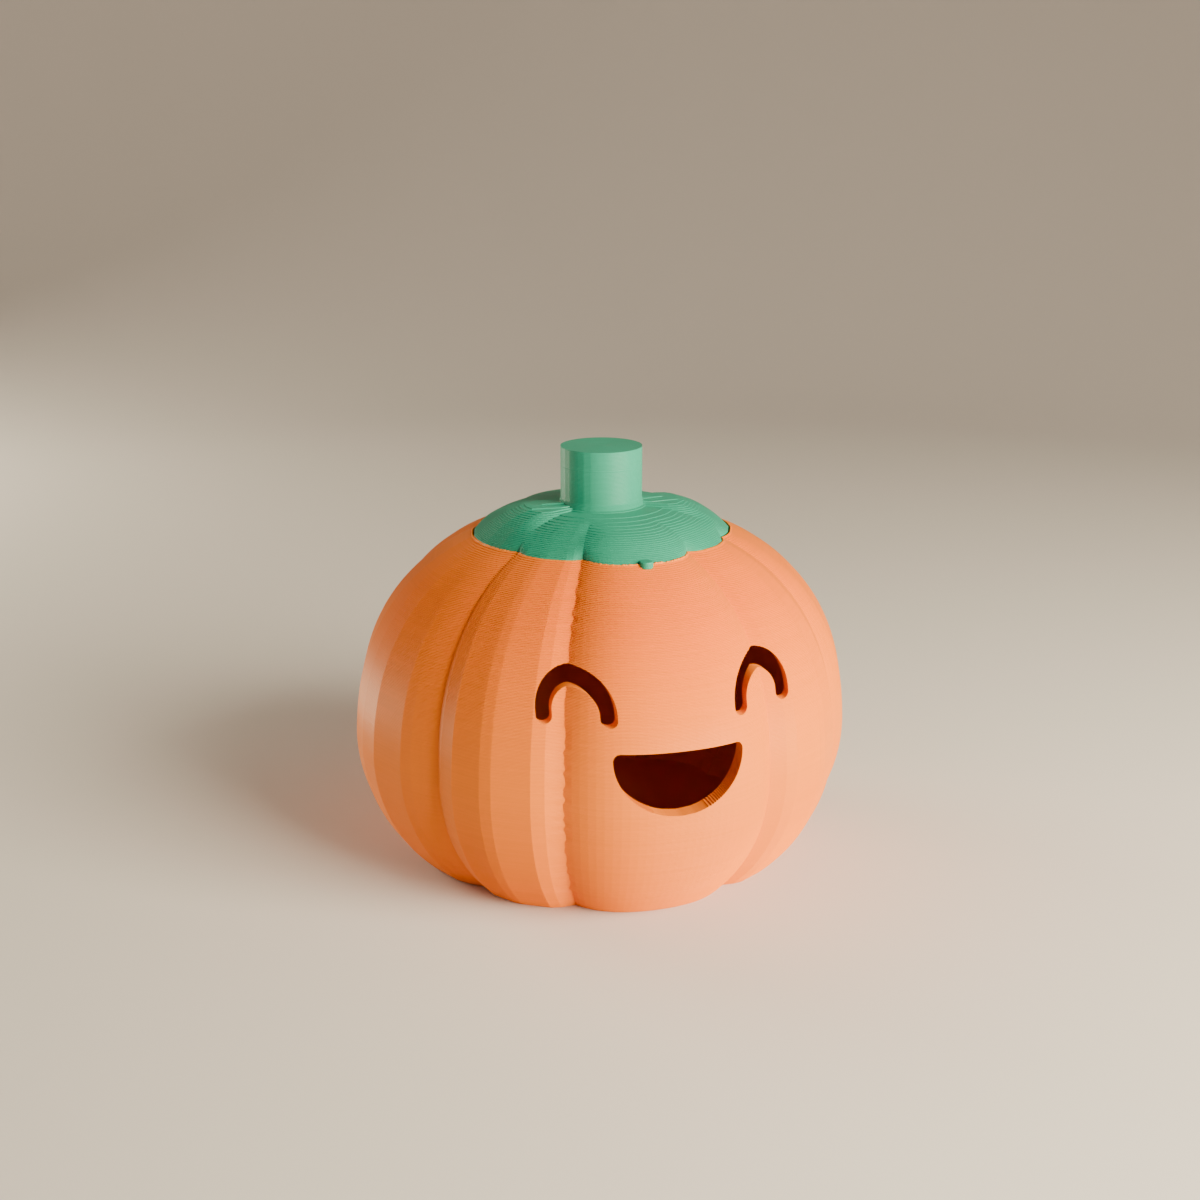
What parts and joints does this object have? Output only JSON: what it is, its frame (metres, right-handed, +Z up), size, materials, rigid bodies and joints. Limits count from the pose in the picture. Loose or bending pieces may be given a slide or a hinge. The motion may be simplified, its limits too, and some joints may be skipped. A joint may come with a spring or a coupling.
{
  "type": "printed plastic pumpkin lantern",
  "caption": "Small pumpkin lantern printed in plastic: a hollow lobed orange body with a smiling cut-out face, closed by a loose green lid with a round stem.",
  "frame": {"origin": "centre of the flat base, on the surface it stands on", "axes": "+Z up through the stem, -Y towards the side the face looks to, +X to the right of someone facing it"},
  "size_m": [0.0808, 0.0807, 0.0664],
  "materials": {
    "orange_plastic": "satin printed plastic with fine horizontal layer lines",
    "green_plastic": "satin printed plastic with fine horizontal layer lines"
  },
  "bodies": {
    "root": {"pumpkin_body": "orange_plastic", "stem_lid": "green_plastic"}
  },
  "joints": []
}
